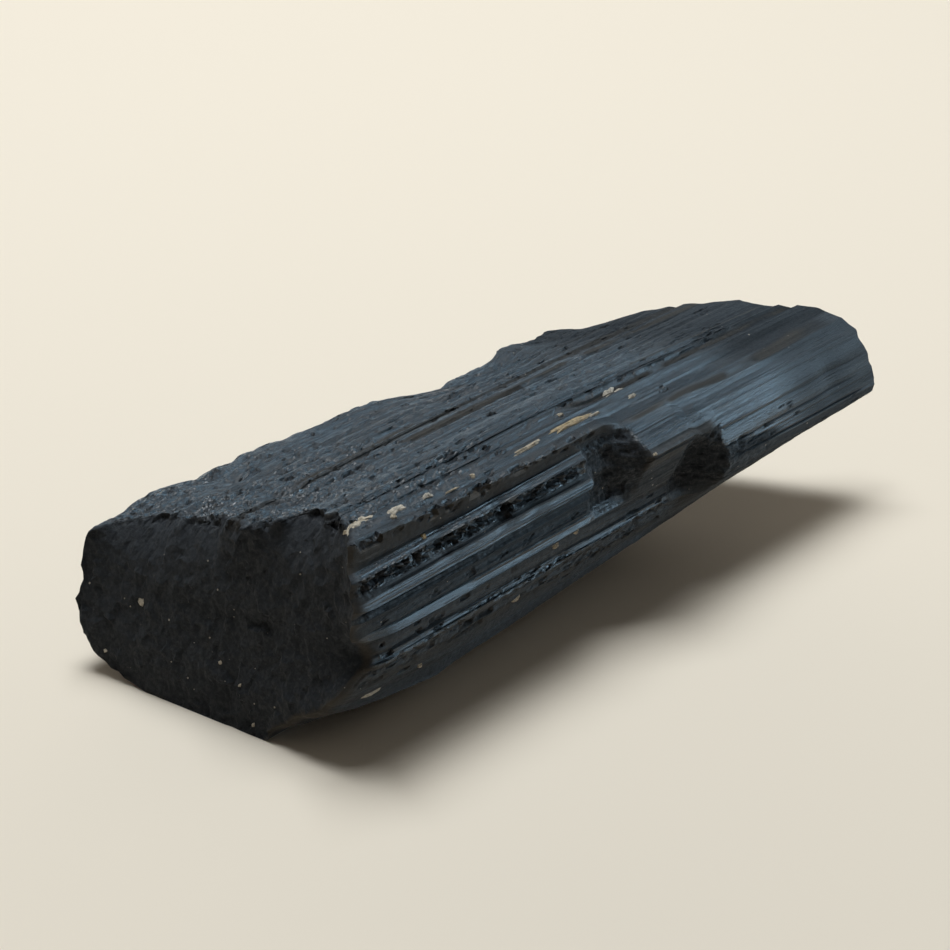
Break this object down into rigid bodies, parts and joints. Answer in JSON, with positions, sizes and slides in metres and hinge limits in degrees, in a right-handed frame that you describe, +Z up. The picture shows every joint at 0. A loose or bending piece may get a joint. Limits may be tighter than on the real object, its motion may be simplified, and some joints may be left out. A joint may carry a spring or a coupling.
{
  "type": "tourmaline crystal",
  "caption": "Rough black tourmaline crystal lying on its side: a ribbed prism, broken across at both ends, with stepped notches in one flank.",
  "frame": {"origin": "middle of the crystal's bounding box, at the height of the surface that it lies on", "axes": "+X along the crystal from its dull broken end to its slanting far end, +Z up, the notched flank faces -Y"},
  "size_m": [0.097, 0.0462, 0.0266],
  "materials": {
    "black_tourmaline": "vitreous along the ribs, dull and granular on the breaks",
    "pale_mineral": "matt cream flecks on the ribs"
  },
  "bodies": {
    "root": {"tourmaline_crystal": "black_tourmaline"}
  },
  "joints": []
}
